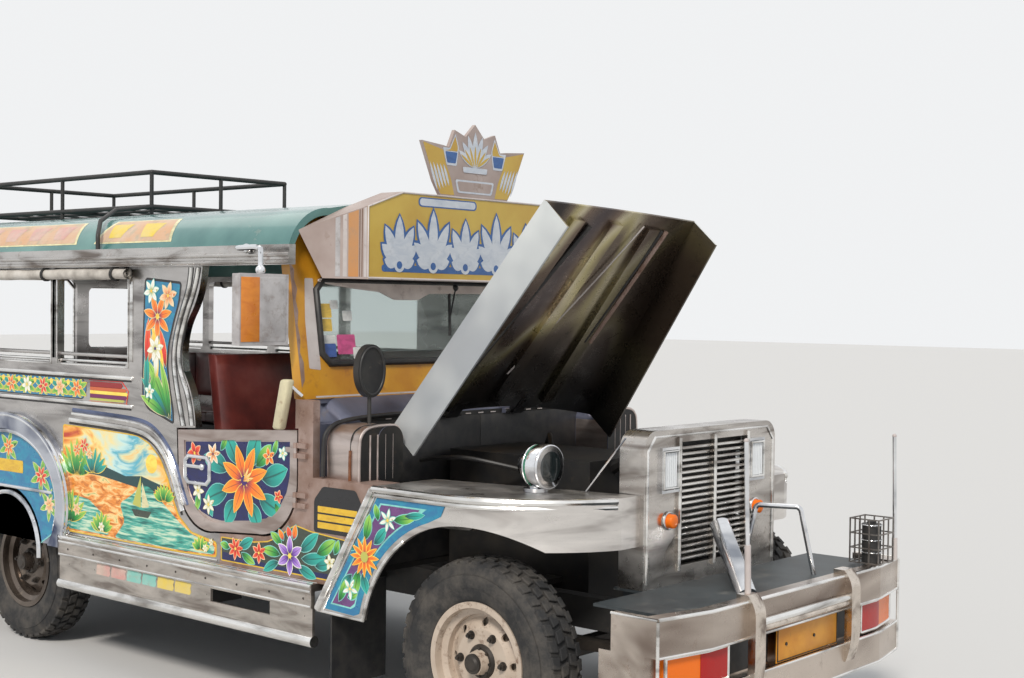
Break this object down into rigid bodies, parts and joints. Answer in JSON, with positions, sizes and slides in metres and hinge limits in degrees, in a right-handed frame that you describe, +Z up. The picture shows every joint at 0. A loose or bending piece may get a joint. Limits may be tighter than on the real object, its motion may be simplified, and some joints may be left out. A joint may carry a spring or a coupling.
{
  "type": "jeepney",
  "caption": "Long-bodied passenger minibus with an open hood, half doors, side benches, roof rack and painted stainless sides.",
  "frame": {"origin": "on the ground at the middle of the overall length and width", "axes": "+X forward, +Y to its left, +Z up"},
  "size_m": [5.5999, 2.44, 2.45],
  "materials": {
    "chrome": "bright, pitted",
    "canvas": "rolled",
    "glass": "clear",
    "iron": "oily",
    "lamp_lens": "clear red and amber",
    "ochre_paint": "chipped",
    "black_plastic": "matt",
    "rubber": "matt",
    "sign_paint": "yellow",
    "stainless": "polished sheet, stained",
    "black_steel": "black, worn",
    "teal_paint": "gloss, faded",
    "tyre": "matt, dusty",
    "vinyl": "padded",
    "wheel_paint": "dusty beige enamel"
  },
  "bodies": {
    "body": {"basket": "black_steel", "body_side_left": "stainless", "body_side_right": "stainless", "chassis_frame": "black_steel", "cowl": "stainless", "cowl_sides": "stainless", "crest": "sign_paint", "curtain_rolls": "canvas", "cushions": "vinyl", "dashboard": "black_plastic", "drip_rails": "stainless", "drive_shaft": "iron", "engine_block": "iron", "exhaust": "iron", "fender_left": "stainless", "fender_right": "stainless", "floor": "black_steel", "front_axle": "iron", "front_bumper": "stainless", "front_deck": "black_steel", "fuel_tank": "black_steel", "grille_shell": "stainless", "head_lamps": "chrome", "horn": "black_plastic", "leaf_springs": "iron", "mirrors": "black_plastic", "mud_flaps": "rubber", "nose_guard": "chrome", "overriders": "chrome", "radiator": "black_steel", "rear_arches": "chrome", "rear_axle": "iron", "rear_portal": "stainless", "rear_step": "chrome", "roof_rack": "black_steel", "roof_shell": "teal_paint", "running_boards": "stainless", "seat_bases": "black_steel", "sign_board": "sign_paint", "signal_lamps": "lamp_lens", "steering_wheel": "black_plastic", "windshield_frame": "ochre_paint", "windshield_glass": "glass"},
    "hood": {"hood": "stainless"},
    "door_right": {"door_right": "stainless"},
    "door_left": {"door_left": "stainless"},
    "knuckle_right": {"knuckle_right": "iron"},
    "knuckle_left": {"knuckle_left": "iron"},
    "tie_rod": {"tie_rod": "black_steel"},
    "wheel_front_right": {"wheel_front_right": "wheel_paint", "tyre_front_right": "tyre"},
    "wheel_front_left": {"wheel_front_left": "wheel_paint", "tyre_front_left": "tyre"},
    "wheel_rear_right": {"wheel_rear_right": "wheel_paint", "tyre_rear_right": "tyre"},
    "wheel_rear_left": {"wheel_rear_left": "wheel_paint", "tyre_rear_left": "tyre"}
  },
  "joints": [
    {"name": "hood_hinge", "type": "hinge", "parent": "body", "child": "hood", "pos_m": [1.18, 0, 1.2], "axis": [0, -1, 0], "range_deg": [-45.5, 15]},
    {"name": "door_right_hinge", "type": "hinge", "parent": "body", "child": "door_right", "pos_m": [1.041, -0.944, 0.99], "axis": [0, 0, 1], "range_deg": [0, 75]},
    {"name": "door_left_hinge", "type": "hinge", "parent": "body", "child": "door_left", "pos_m": [1.041, 0.944, 0.99], "axis": [0, 0, -1], "range_deg": [0, 75]},
    {"name": "steer_right", "type": "hinge", "parent": "body", "child": "knuckle_right", "pos_m": [1.93, -0.66, 0.378], "axis": [0, 0, 1], "range_deg": [-30, 30]},
    {"name": "steer_left", "type": "hinge", "parent": "body", "child": "knuckle_left", "pos_m": [1.93, 0.66, 0.378], "axis": [0, 0, 1], "range_deg": [-30, 30]},
    {"name": "tie_rod_pivot", "type": "hinge", "parent": "knuckle_right", "child": "tie_rod", "pos_m": [1.78, -0.66, 0.296], "axis": [0, 0, 1], "range_deg": [-30, 30]},
    {"name": "spin_front_right", "type": "hinge", "parent": "knuckle_right", "child": "wheel_front_right", "pos_m": [1.93, -0.782, 0.378], "axis": [0, 1, 0], "continuous": true},
    {"name": "spin_front_left", "type": "hinge", "parent": "knuckle_left", "child": "wheel_front_left", "pos_m": [1.93, 0.782, 0.378], "axis": [0, 1, 0], "continuous": true},
    {"name": "spin_rear_right", "type": "hinge", "parent": "body", "child": "wheel_rear_right", "pos_m": [-1.07, -0.782, 0.378], "axis": [0, 1, 0], "continuous": true},
    {"name": "spin_rear_left", "type": "hinge", "parent": "body", "child": "wheel_rear_left", "pos_m": [-1.07, 0.782, 0.378], "axis": [0, 1, 0], "continuous": true}
  ],
  "couplings": [
    {"joint": "steer_left", "follows": "steer_right", "ratio": 1},
    {"joint": "tie_rod_pivot", "follows": "steer_right", "ratio": -1}
  ]
}
